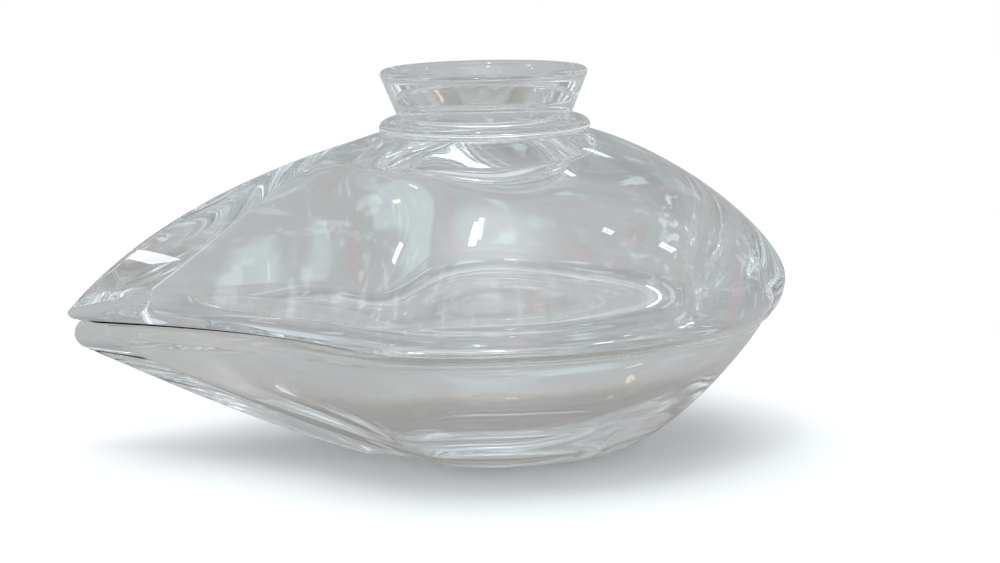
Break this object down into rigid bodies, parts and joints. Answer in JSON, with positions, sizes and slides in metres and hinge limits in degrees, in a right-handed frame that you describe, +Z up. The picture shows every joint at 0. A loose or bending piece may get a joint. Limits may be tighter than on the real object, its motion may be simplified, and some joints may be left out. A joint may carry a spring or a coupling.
{
  "type": "covered glass dish",
  "caption": "Teardrop-shaped covered dish of thick clear glass; the lid with its flared cup knob lifts straight off the base bowl.",
  "frame": {"origin": "centre of the flat foot, on the axis of the round knob", "axes": "+Z up along the knob's axis, +X along the dish towards its round end, -X towards the pointed tip"},
  "size_m": [0.1897, 0.1332, 0.1019],
  "materials": {
    "clear_glass": "polished, clear, with a faint cool grey in thick edges"
  },
  "bodies": {
    "base": {"base_bowl": "clear_glass"},
    "lid": {"lid_dome": "clear_glass", "knob_collar": "clear_glass", "knob_cup": "clear_glass"}
  },
  "joints": [
    {"name": "lid_lift", "type": "slide", "parent": "base", "child": "lid", "axis": [0, 0, 1], "range_m": [0, 0.08]}
  ]
}
